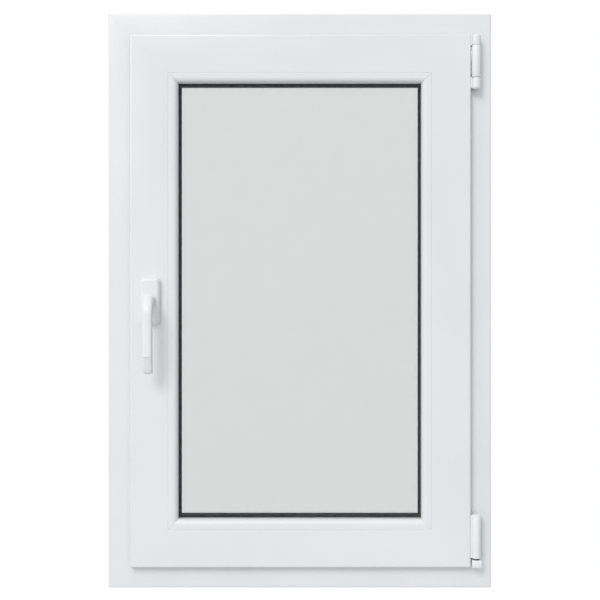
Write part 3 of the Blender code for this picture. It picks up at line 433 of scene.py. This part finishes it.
class Palette:
    """Every finish of the window, made once."""

    def __init__(self) -> None:
        """Builds the materials."""
        across = ExtrudedUPVC("extruded white uPVC, across", "EAEBEE", 0.32, ior=1.53)
        upright = ExtrudedUPVC("extruded white uPVC, upright", "EAEBEE", 0.32, ior=1.53,
                               run=Run.UPRIGHT)
        finishes = {
            "upvc_across": across,
            "upvc_upright": upright,
            "moulded_upvc": MouldedPlastic("moulded white uPVC", "E4E5E8", 0.4, ior=1.53),
            "coated_zinc": PowderCoatedZinc("white powder-coated zinc", "EDEEF1", 0.42),
            "galvanised": GalvanisedSteel("galvanised steel", "B4B7BA", 0.38, metallic=1.0),
            "die_cast": CastMetal("die-cast zinc", "A9ABAE", 0.45, metallic=1.0),
            "spacer": SpacerAluminium("mill-finish aluminium", "B9BBBD", 0.35, metallic=1.0),
            "epdm": ExtrudedEPDM("extruded EPDM rubber", "121314", 0.55, ior=1.52),
            "glass": FloatGlass("coated float glass", "ECEDED", 0.0, ior=1.52),
            "packer": MouldedPlastic("moulded polypropylene", "6D7072", 0.5, ior=1.49),
        }
        self.materials = {key: finish.build() for key, finish in finishes.items()}

    def dress(self, thing: bpy.types.Object, key: str) -> None:
        """Gives an object one finish all over.

        Args:
            thing: a CAD node's object.
            key: the finish's key.
        """
        slots = thing.data.materials
        if not slots:
            slots.append(None)
        for i in range(len(slots)):
            slots[i] = self.materials[key]


# ---------------------------------------------------------------- shapes


@dataclass(frozen=True)
class Outline:
    """An upright rectangle, in millimetres, that a profile's `u` counts inwards from."""

    half: float
    low: float
    high: float
    room_face: float
    flange: float = 0.0
    flange_reach: float = 4.0

    @classmethod
    def around(cls, nodes: Iterable[str], room_face: float, flange: float = 0.0) -> Outline:
        """Finds the outline of some CAD nodes.

        Args:
            nodes: names of CAD nodes.
            room_face: the Y of the frame's room face.
            flange: how far the profile's outer edge is widened on the hinge side.

        Returns:
            The rectangle round them.
        """
        boxes = [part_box(node) for node in nodes]
        return cls(
            max(high.x for _, high in boxes) / MM,
            min(low.z for low, _ in boxes) / MM,
            max(high.z for _, high in boxes) / MM,
            room_face,
            flange,
        )

    def corner(self, index: int, u: float, d: float) -> Vector:
        """A point of the cross-section at one of the four mitres.

        Args:
            index: 0 lower left, 1 lower right, 2 upper right, 3 upper left.
            u: millimetres in from the outline.
            d: millimetres behind the room face.

        Returns:
            The point in metres.
        """
        hinge_side = index in (1, 2)
        x = (self.half - u) * (1 if hinge_side else -1)
        if hinge_side and u < self.flange_reach:
            x += self.flange
        z = self.low + u if index in (0, 1) else self.high - u
        return Vector((x, self.room_face + d, z)) * MM


def rounded(corners: Sequence[tuple[float, ...]], steps: int = 6) -> list[Point2]:
    """Rounds an outline's corners.

    Args:
        corners: each corner's two coordinates and, if it's rounded, its radius.
        steps: straight pieces per arc.

    Returns:
        The outline's points.
    """
    points: list[Point2] = []
    count = len(corners)
    for i, corner in enumerate(corners):
        here = Vector(corner[:2])
        radius = corner[2] if len(corner) > 2 else 0.0
        if not radius:
            points.append((here.x, here.y))
            continue
        back = (Vector(corners[i - 1][:2]) - here).normalized()
        ahead = (Vector(corners[(i + 1) % count][:2]) - here).normalized()
        half = back.angle(ahead) / 2
        centre = here + (back + ahead).normalized() * (radius / math.sin(half))
        start = here + back * (radius / math.tan(half)) - centre
        end = here + ahead * (radius / math.tan(half)) - centre
        sweep = start.angle_signed(end)
        for step in range(steps + 1):
            spoke = start.copy()
            spoke.rotate(Matrix.Rotation(-sweep * step / steps, 2))
            points.append(tuple(centre + spoke))
    return points


@dataclass
class Shape:
    """Points and faces of one piece, with the number of each face's finish."""

    points: list[Vector]
    faces: list[tuple[int, ...]]
    finishes: list[int]

    @classmethod
    def loft(cls, loops: Sequence[Sequence[Vector]], closed: bool = False,
             finishes: Sequence[int] = ()) -> Shape:
        """Joins loops of equal length into a skin.

        Args:
            loops: the loops in order.
            closed: whether the last loop joins the first, instead of both being capped.
            finishes: the finish's number for each span between loops.

        Returns:
            The shape.
        """
        size = len(loops[0])
        shape = cls([p for loop in loops for p in loop], [], [])
        spans = len(loops) if closed else len(loops) - 1
        for span in range(spans):
            a, b = span * size, (span + 1) % len(loops) * size
            for i in range(size):
                j = (i + 1) % size
                shape.faces.append((a + i, a + j, b + j, b + i))
                shape.finishes.append(finishes[span] if finishes else 0)
        if not closed:
            shape.faces.append(tuple(range(size)))
            shape.faces.append(tuple(range(len(shape.points) - size, len(shape.points))))
            shape.finishes += [0, 0]
        return shape

    def build(self, name: str, palette: Palette, keys: Sequence[str], body: Body,
              slot: str = "", replaces: Sequence[str] = (), sharp: float = 35.0) -> None:
        """Makes the piece and sets what it rides on.

        Args:
            name: the piece's name.
            palette: the finishes.
            keys: the finish for each finish number.
            body: the body it moves with.
            slot: the record's material slot, if it has one; not used.
            replaces: CAD nodes that it stands for.
            sharp: the angle in degrees past which an edge stays sharp.
        """
        mesh = bpy.data.meshes.new(name)
        mesh.from_pydata([tuple(p) for p in self.points], [], self.faces)
        for key in keys:
            mesh.materials.append(palette.materials[key])
        mesh.polygons.foreach_set("material_index", self.finishes)
        work = bmesh.new()
        work.from_mesh(mesh)
        bmesh.ops.recalc_face_normals(work, faces=work.faces[:])
        work.to_mesh(mesh)
        work.free()
        mesh.shade_smooth()
        mesh.set_sharp_from_angle(angle=math.radians(sharp))
        piece = bpy.data.objects.new(name, mesh)
        bpy.context.scene.collection.objects.link(piece)
        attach(piece, body.value)
        if replaces:
            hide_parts(*replaces)
        LOG.info("%s rides on the %s, %d faces", name, body.value, len(self.faces))


def welded_ring(outline: Outline, section: Sequence[Point2]) -> Shape:
    """A profile mitred and welded round a rectangle.

    Args:
        outline: the rectangle.
        section: the profile's outline as (u, d).

    Returns:
        The ring, with finish 0 on its level lengths and 1 on its upright ones.
    """
    loops = [[outline.corner(index, u, d) for u, d in section] for index in range(4)]
    return Shape.loft(loops, closed=True, finishes=(0, 1, 0, 1))


def soften(node: bpy.types.Object, width_mm: float) -> None:
    """Rounds a CAD node's edges by modifiers, so that they catch the light.

    Args:
        node: the CAD node's object.
        width_mm: the rounding's width.
    """
    attribute = node.data.attributes.get("custom_normal")
    if attribute:
        node.data.attributes.remove(attribute)
    node.data.shade_smooth()
    weld = node.modifiers.new("weld", "WELD")
    weld.merge_threshold = 0.005 * MM
    bevel = node.modifiers.new("rounding", "BEVEL")
    bevel.width = width_mm * MM
    bevel.segments = 2
    bevel.limit_method = "ANGLE"
    bevel.angle_limit = math.radians(40)
    bevel.use_clamp_overlap = True
    split = node.modifiers.new("edges", "EDGE_SPLIT")
    split.split_angle = math.radians(50)


# ---------------------------------------------------------------- sub-assemblies


@dataclass
class OuterFrame:
    """The fixed frame: four uPVC lengths welded into one, with the sash's rebate."""

    palette: Palette
    room_face: float
    face_width: float = 41.5
    full_width: float = 67.0
    depth: float = 70.0
    step: float = 50.0
    outer_radius: float = 3.0
    inner_radius: float = 2.5
    groove_deep: float = 3.0
    slope: float = 3.8

    RAILS = ("frame_sill", "frame_head", "frame_lock_jamb", "frame_hinge_jamb")

    def section(self) -> list[Point2]:
        """The profile's outline, with two clip grooves in its outer face."""
        deep = self.groove_deep
        return rounded([
            (0, self.slope, self.outer_radius),
            (self.face_width, 0, self.inner_radius),
            (self.face_width, self.step, 0.4),
            (self.full_width, self.step, 2.0),
            (self.full_width, self.depth, 1.5),
            (0, self.depth, 1.5),
            (0, 59), (deep, 59), (deep, 51), (0, 51),
            (0, 19), (deep, 19), (deep, 11), (0, 11),
        ])

    def build(self) -> None:
        """Builds the welded frame."""
        outline = Outline.around(self.RAILS, self.room_face)
        ring = welded_ring(outline, self.section())
        ring.build("welded_frame", self.palette, ("upvc_across", "upvc_upright"),
                   Body.FRAME, "upvc", self.RAILS)


@dataclass
class Sash:
    """The opening leaf: welded uPVC profile, clip-in beads and sealed double glazing."""

    palette: Palette
    room_face: float
    front: float = -14.0
    lip_back: float = -2.2
    lip_width: float = 18.0
    hinge_flange: float = 1.7
    leg_front: float = 32.0
    back: float = 46.0
    width: float = 59.6
    bead_end: float = 75.0
    bead_round: float = 8.5
    joint: float = 0.06

    RAILS = ("sash_bottom_rail", "sash_top_rail", "sash_lock_stile", "sash_hinge_stile")
    BEADS = ("glazing_bead_sill", "glazing_bead_hinge", "glazing_bead_head",
             "glazing_bead_lock")

    def section(self) -> list[Point2]:
        """The profile's outline: lip, glazing rebate and hardware groove."""
        groove = self.lip_width
        return rounded([
            (0, self.front, 3.5),
            (self.width, self.front, 0.35),
            (self.width, self.leg_front), (self.bead_end, self.leg_front),
            (self.bead_end, 36, 0.8),
            (70, self.back, 1.2),
            (groove, self.back, 1.5),
            (groove, 21, 0.3), (groove + 3, 21), (groove + 3, 19), (groove + 11, 19),
            (groove + 11, 7), (groove + 3, 7), (groove + 3, 5), (groove, 5, 0.3),
            (groove, self.lip_back),
            (0, self.lip_back, 1.0),
        ])

    def bead_section(self) -> list[Point2]:
        """The bead's outline: a flat by the sash, rounded over toward the glass."""
        start = self.width + self.joint
        return rounded([
            (start, self.front, 0.35),
            (self.bead_end, self.front, self.bead_round),
            (self.bead_end, 2),
            (start, 2),
        ], steps=12)

    def build(self) -> None:
        """Builds the welded sash and its four beads."""
        outline = Outline.around(self.RAILS, self.room_face, self.hinge_flange)
        ring = welded_ring(outline, self.section())
        ring.build("welded_sash", self.palette, ("upvc_across", "upvc_upright"),
                   Body.SASH, "upvc", self.RAILS)
        for index, node in enumerate(self.BEADS):
            self.build_bead(outline, index, node)

    def build_bead(self, outline: Outline, index: int, node: str, gap: float = 0.12) -> None:
        """Builds one bead with its ends cut at 45 degrees.

        Args:
            outline: the sash's outline.
            index: the corner that the bead starts from.
            node: the CAD node that it stands for.
            gap: how far each end stays from the mitre, in millimetres.
        """
        ends = (index, (index + 1) % 4)
        loops = [[outline.corner(end, u, d) for u, d in self.bead_section()] for end in ends]
        along = (loops[1][0] - loops[0][0]).normalized() * gap * MM
        loops = [[p + along for p in loops[0]], [p - along for p in loops[1]]]
        key = "upvc_across" if index in (0, 2) else "upvc_upright"
        bead = Shape.loft(loops)
        bead.build(node + "_clipped", self.palette, (key,), Body.SASH, "upvc", (node,))


@dataclass
class Screw:
    """A countersunk cross-head screw, driven flush."""

    palette: Palette
    radius: float = 3.1
    arm: float = 2.1
    arm_width: float = 0.55
    recess: float = 1.3
    recess_taper: float = 0.75
    crown: float = 0.25
    crown_width: float = 0.92
    sunk: float = 1.2
    sunk_width: float = 0.6

    def build(self, name: str, body: Body, place: Vector, out: Vector) -> None:
        """Builds one head.

        Args:
            name: the piece's name.
            body: the body it rides on.
            place: the middle of the head's rim, in millimetres.
            out: the way that the head faces.
        """
        side = out.orthogonal().normalized()
        up = out.cross(side)
        narrow = math.atan2(self.arm_width, self.arm)
        corners = [k * math.pi / 2 + t for k in range(4)
                   for t in (-narrow, 0.0, narrow, math.pi / 8, math.pi / 4, 3 * math.pi / 8)]

        def loop(reach: Callable[[float], float], high: float) -> list[Vector]:
            """One ring of points at a height, with its reach in each direction."""
            return [(place + out * high + (side * math.cos(t) + up * math.sin(t)) * reach(t)) * MM
                    for t in corners]

        shape = Shape.loft([
            loop(lambda t: self.radius * self.sunk_width, -self.sunk),
            loop(lambda t: self.radius, 0.0),
            loop(lambda t: self.radius * self.crown_width, self.crown * 0.8),
            loop(self.cross, self.crown),
            loop(lambda t: self.cross(t) * self.recess_taper, self.crown - self.recess),
        ])
        shape.build(name, self.palette, ("galvanised",), body, "galvanised_steel")

    def cross(self, angle: float) -> float:
        """Shapes the cross recess.

        Args:
            angle: the direction from the screw's axis.

        Returns:
            How far the recess reaches that way, in millimetres.
        """
        c, s = abs(math.cos(angle)) + 1e-6, abs(math.sin(angle)) + 1e-6
        wide = min(self.arm / c, self.arm_width / s)
        high = min(self.arm_width / c, self.arm / s)
        return max(wide, high)


@dataclass
class Handle:
    """Lever and rosette in white powder-coated zinc."""

    palette: Palette
    room_face: float
    length: float = 110.0
    bend: float = 20.0
    reach: float = 56.0
    grip: Point2 = (15.5, 12.5)
    neck_radius: float = 8.2
    collar_radius: float = 9.8
    bend_steps: int = 14
    sides: int = 64
    rosette_radius: float = 6.0
    edge_radius: float = 5.2
    round_steps: int = 8
    squareness: float = 0.72
    facet_tilt: float = 0.36

    def build(self) -> None:
        """Builds the rosette and the lever on the CAD rosette's place."""
        low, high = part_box("handle_rosette")
        self.build_rosette(low / MM, high / MM)
        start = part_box("handle_lever")[1].y / MM
        low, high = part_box("spindle")
        axis = (low + high) / 2 / MM
        self.build_lever(axis.x, axis.z, start)

    def build_rosette(self, low: Vector, high: Vector) -> None:
        """Builds the backplate as a softly rounded block.

        Args:
            low: the CAD rosette's lowest corner.
            high: its highest corner.
        """
        loops = []
        steps = self.round_steps
        levels = [(high.y, 0.0)]
        for step in range(steps + 1):
            turn = math.pi / 2 * step / steps
            levels.append((low.y + self.edge_radius * (1 - math.sin(turn)),
                           self.edge_radius * (1 - math.cos(turn))))
        for y, inset in levels:
            radius = max(self.rosette_radius - inset * 0.6, 1.0)
            plan = rounded([
                (low.x + inset, low.z + inset, radius), (high.x - inset, low.z + inset, radius),
                (high.x - inset, high.z - inset, radius), (low.x + inset, high.z - inset, radius),
            ], steps)
            loops.append([Vector((x, y, z)) * MM for x, z in plan])
        Shape.loft(loops).build("rosette_cover", self.palette, ("coated_zinc",), Body.SASH,
                                "white_coated_zinc", ("handle_rosette",), sharp=50)

    def stations(self, start: float) -> list[tuple[float, float, float, float, float]]:
        """Lists the sections along the lever, from its collar to its tip.

        Args:
            start: the collar's depth behind the room face.

        Returns:
            Each section's depth, height, tilt, half width and half thickness.
        """
        wide, thick = self.grip[0] / 2, self.grip[1] / 2
        neck = self.neck_radius
        collar = self.collar_radius
        rows = [(start, 0.0, 0.0, collar, collar), (start - 0.9, 0.0, 0.0, collar, collar),
                (start - 1.3, 0.0, 0.0, neck + 0.7, neck + 0.7),
                (start - 3, 0.0, 0.0, neck + 0.3, neck + 0.3)]
        bend_start = self.reach - self.bend
        for step in range(self.bend_steps + 1):
            share = step / self.bend_steps
            turn = math.pi / 2 * share
            rows.append((-(bend_start + self.bend * math.sin(turn)),
                         -self.bend * (1 - math.cos(turn)), turn,
                         neck + (wide - neck) * share, neck + (thick - neck) * share))
        down, tip = math.pi / 2, -self.length
        facet = down - self.facet_tilt
        rows += [
            (-self.reach, tip + 26, down, wide, thick),
            (-self.reach + 0.1, tip + 25.4, facet, wide, thick - 0.1),
            (-self.reach + 2.9, tip + 14, facet, wide - 0.2, thick - 0.5),
            (-self.reach + 6.4, tip + 3.4, facet, wide - 0.4, thick - 1.1),
            (-self.reach + 7.2, tip + 1.3, facet, wide - 1.0, thick - 1.7),
            (-self.reach + 7.4, tip + 0.3, facet, wide - 2.4, thick - 2.9),
        ]
        return rows

    def build_lever(self, x: float, z: float, start_y: float) -> None:
        """Builds the lever.

        Args:
            x: the spindle axis's X.
            z: the spindle axis's Z.
            start_y: the Y where the lever meets the rosette.
        """
        loops = []
        for d, drop, tilt, half_wide, half_thick in self.stations(start_y - self.room_face):
            loop = []
            for i in range(self.sides):
                turn = 2 * math.pi * i / self.sides
                c, s = math.cos(turn), math.sin(turn)
                a = half_wide * math.copysign(abs(c) ** self.squareness, c)
                b = half_thick * math.copysign(abs(s) ** self.squareness, s)
                loop.append(Vector((
                    x + a,
                    self.room_face + d - b * math.sin(tilt),
                    z + drop + b * math.cos(tilt),
                )) * MM)
            loops.append(loop)
        Shape.loft(loops).build("lever_grip", self.palette, ("coated_zinc",), Body.HANDLE,
                                "white_coated_zinc", ("handle_lever",), sharp=17)


@dataclass
class HingeWings:
    """Coated covers on the sash's edge that close the gap beside the hinge barrels.

    Each is hollowed round the barrel's axis, so that it turns past it.
    """

    palette: Palette
    room_face: float
    barrel_gap: float = 0.35
    sleeve_gap: float = 0.05
    front: float = -13.6
    back: float = -6.0
    steps: int = 8

    def build(self) -> None:
        """Builds the wings beside the upper hinge's knuckles and the lower sleeve."""
        low, high = (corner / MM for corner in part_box("upper_hinge_pin"))
        axis = (low + high) / 2
        barrel_low, barrel_high = (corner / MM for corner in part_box("stay_bearing"))
        eye_low, eye_high = (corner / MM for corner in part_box("stay_eye_cover"))
        sleeve_low, sleeve_high = (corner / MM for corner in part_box("corner_hinge_cover"))
        edge = max(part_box(node)[1].x for node in Sash.RAILS) / MM + Sash.hinge_flange
        radius = sleeve_high.x - axis.x
        for name, bottom, top, gap in (
            ("upper_wing_top", eye_high.z, barrel_high.z - 1.0, self.barrel_gap),
            ("upper_wing_base", barrel_low.z + 1.5, eye_low.z, self.barrel_gap),
            ("lower_wing", sleeve_low.z + 1.0, sleeve_high.z - 1.5, self.sleeve_gap),
        ):
            self.build_wing(name, axis, edge, radius + gap, bottom, top)

    def build_wing(self, name: str, axis: Vector, edge: float, radius: float,
                   bottom: float, top: float) -> None:
        """Builds one wing.

        Args:
            name: the piece's name.
            axis: a point of the hinge's axis, in millimetres.
            edge: the X of the sash's edge.
            radius: the hollow's radius.
            bottom: the wing's lower end.
            top: its upper end.
        """
        front, back = self.room_face + self.front, self.room_face + self.back
        outline = [(edge - 0.6, back), (edge - 0.6, front + 0.5), (edge + 0.2, front)]
        for step in range(self.steps + 1):
            y = front + (back - front) * step / self.steps
            reach = math.sqrt(max(radius ** 2 - (y - axis.y) ** 2, 0.0))
            outline.append((axis.x - reach, y))
        loops = [[Vector((x, y, z)) * MM for x, y in outline] for z in (bottom, top)]
        Shape.loft(loops).build(name, self.palette, ("coated_zinc",), Body.SASH,
                                "white_coated_zinc")


@dataclass
class Hardware:
    """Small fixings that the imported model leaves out."""

    palette: Palette
    plate_shares: tuple[float, ...] = (0.08, 0.3, 0.62, 0.78)
    keeper_base: float = 2.0
    base_inside: float = 7.0
    screw_inside: float = 5.5

    KEEPERS = (
        ("keeper_lock", (0, 0, 1), (1, 0, 0)),
        ("keeper_head", (1, 0, 0), (0, 0, -1)),
        ("tilt_keeper", (1, 0, 0), (0, 0, 1)),
    )

    def build(self) -> None:
        """Adds the screws of the keepers and of the sash's faceplates."""
        screw = Screw(self.palette)
        low, high = (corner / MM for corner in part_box("faceplate_lock"))
        for number, share in enumerate(self.plate_shares):
            place = Vector((low.x, (low.y + high.y) / 2, low.z + share * (high.z - low.z)))
            screw.build(f"faceplate_screw_{number}", Body.SASH, place, Vector((-1, 0, 0)))
        for node, along, up in self.KEEPERS:
            self.screw_keeper(screw, node, Vector(along), Vector(up))

    def screw_keeper(self, screw: Screw, node: str, along: Vector, up: Vector) -> None:
        """Puts a screw in each end of a keeper's base.

        Args:
            screw: the kind of screw.
            node: the keeper's node.
            along: the direction of the keeper's length.
            up: the way that its base faces.
        """
        low, high = (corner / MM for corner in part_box(node))
        middle, half = (low + high) / 2, (high - low) / 2
        floor = middle - up * abs(half.dot(up)) + up * self.keeper_base
        floor.y = high.y - self.base_inside
        for number, side in enumerate((-1, 1)):
            place = floor + along * side * (abs(half.dot(along)) - self.screw_inside)
            screw.build(f"{node}_screw_{number}", Body.FRAME, place, up)


# ---------------------------------------------------------------- studio


@dataclass
class Studio:
    """A bright cove with one large soft key light from the upper left.

    Lengths are in metres and the key light's angle is in degrees.
    """

    centre: Vector
    distance: float = 1.9
    frame_wide: float = 0.9387
    eye_above: float = 0.047
    sensor: float = 36.0
    low_fill: float = 0.28
    high_fill: float = 0.91
    fill_way: tuple[float, float, float] = (-0.46, -0.38, 0.80)
    key_strength: float = 1.07
    key_angle: float = 22.0
    key_side: float = 0.43
    key_height: float = 0.76
    wall_start: float = 0.35
    wall_full: float = 0.88
    wall_light: float = 1.02
    floor_radius: float = 1.45
    floor_drop: float = 0.5
    floor_sides: int = 128

    def build(self) -> None:
        """Sets up the camera, lights, floor and view transform."""
        scene = bpy.context.scene
        scene.view_settings.view_transform = "Standard"
        self.place_camera(scene)
        self.light_world(scene)
        self.hang_key(scene)
        self.lay_floor()

    def place_camera(self, scene: bpy.types.Scene) -> None:
        """Looks level at the window from a little above its middle.

        Args:
            scene: the scene that gets the camera.
        """
        data = bpy.data.cameras.new("camera")
        data.sensor_width = self.sensor
        data.lens = self.sensor * self.distance / self.frame_wide
        data.shift_y = -self.eye_above / self.frame_wide
        camera = bpy.data.objects.new("camera", data)
        camera.location = self.centre + Vector((0, -self.distance, self.eye_above))
        camera.rotation_euler = (math.pi / 2, 0, 0)
        scene.collection.objects.link(camera)
        scene.camera = camera

    def light_world(self, scene: bpy.types.Scene) -> None:
        """Fills the room softly, with a white wall behind the window.

        Args:
            scene: the scene that gets the world.
        """
        world = bpy.data.worlds.new("cove")
        world.use_nodes = True
        scene.world = world
        tree = world.node_tree
        sky = tree.nodes["Background"]
        ray = add(tree, "TexCoord")
        parts = add(tree, "SeparateXYZ", links={"Vector": ray.outputs["Generated"]})
        wall = add(tree, "MapRange", {
            "interpolation_type": "SMOOTHSTEP",
            "From Min": self.wall_start, "From Max": self.wall_full,
            "To Min": 0.0, "To Max": self.wall_light,
        }, {"Value": parts.outputs["Y"]})
        across = add(tree, "VectorMath", {"operation": "DOT_PRODUCT", 1: self.fill_way},
                     {0: ray.outputs["Generated"]})
        fill = add(tree, "MapRange", {
            "From Min": -1.0, "From Max": 1.0,
            "To Min": self.low_fill, "To Max": self.high_fill,
        }, {"Value": across.outputs["Value"]})
        both = add(tree, "Math", {"operation": "MAXIMUM"},
                   {0: wall.outputs["Result"], 1: fill.outputs["Result"]})
        tree.links.new(both.outputs["Value"], sky.inputs["Strength"])
        sky.inputs["Color"].default_value = (1.0, 1.0, 1.0, 1.0)

    def key_way(self) -> Vector:
        """The direction from the window to the key light."""
        return Vector((-self.key_side, -1.0, self.key_height)).normalized()

    def hang_key(self, scene: bpy.types.Scene) -> None:
        """Hangs a large softbox far off, to the upper left of the window.

        Args:
            scene: the scene that gets the light.
        """
        data = bpy.data.lights.new("key", "SUN")
        data.energy = self.key_strength
        data.angle = math.radians(self.key_angle)
        light = bpy.data.objects.new("key", data)
        light.rotation_euler = (-self.key_way()).to_track_quat("-Z", "Y").to_euler()
        scene.collection.objects.link(light)

    def lay_floor(self) -> None:
        """Lays a pale matt floor well below the window."""
        mesh = bpy.data.meshes.new("floor")
        around = [2 * math.pi * i / self.floor_sides for i in range(self.floor_sides)]
        reach, high = self.floor_radius, -self.floor_drop
        rim = [(reach * math.cos(turn), reach * math.sin(turn), high) for turn in around]
        mesh.from_pydata(rim, [], [tuple(range(self.floor_sides))])
        floor = bpy.data.objects.new("floor", mesh)
        bpy.context.scene.collection.objects.link(floor)
        mesh.materials.append(Finish("matt floor paint", "D8D8D8", 0.8).build())


# ---------------------------------------------------------------- the window


# how far the camera's aim is off the window's middle, in metres
AIM = Vector((0.0004, 0, 0.0012))
# the finish and the edge rounding in millimetres of each material slot
SLOT_FINISHES = {
    "upvc": ("moulded_upvc", 0.4),
    "white_coated_zinc": ("coated_zinc", 0.5),
    "galvanised_steel": ("galvanised", 0.2),
    "die_cast_zinc": ("die_cast", 0.3),
    "glass": ("glass", 0.0),
    "spacer_aluminium": ("spacer", 0.3),
    "epdm": ("epdm", 0.3),
    "polymer": ("packer", 0.4),
}


def slot_of(node: bpy.types.Object) -> str:
    """The record's material slot of a CAD node, read from its imported material."""
    return node.data.materials[0].name.split(".")[0]


def dress_nodes(nodes: dict[str, bpy.types.Object], palette: Palette) -> None:
    """Gives every CAD node its finish and softened edges.

    Args:
        nodes: the CAD nodes' objects by name.
        palette: the finishes.
    """
    for node in nodes.values():
        name = slot_of(node)
        key, rounding = SLOT_FINISHES[name]
        palette.dress(node, key)
        if rounding:
            soften(node, rounding)


def main() -> None:
    """Builds the whole scene."""
    logging.basicConfig(level=logging.INFO)
    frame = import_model()
    room_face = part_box("frame_sill")[0].y / MM
    palette = Palette()
    dress_nodes(frame["nodes"], palette)
    LOG.info("dressed %d nodes", len(frame["nodes"]))
    OuterFrame(palette, room_face).build()
    Sash(palette, room_face).build()
    Handle(palette, room_face).build()
    HingeWings(palette, room_face).build()
    Hardware(palette).build()
    low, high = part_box("frame_hinge_jamb")
    middle = Vector((0, room_face * MM, (low.z + high.z) / 2))
    Studio(middle + AIM).build()


if __name__ == "__main__":
    main()
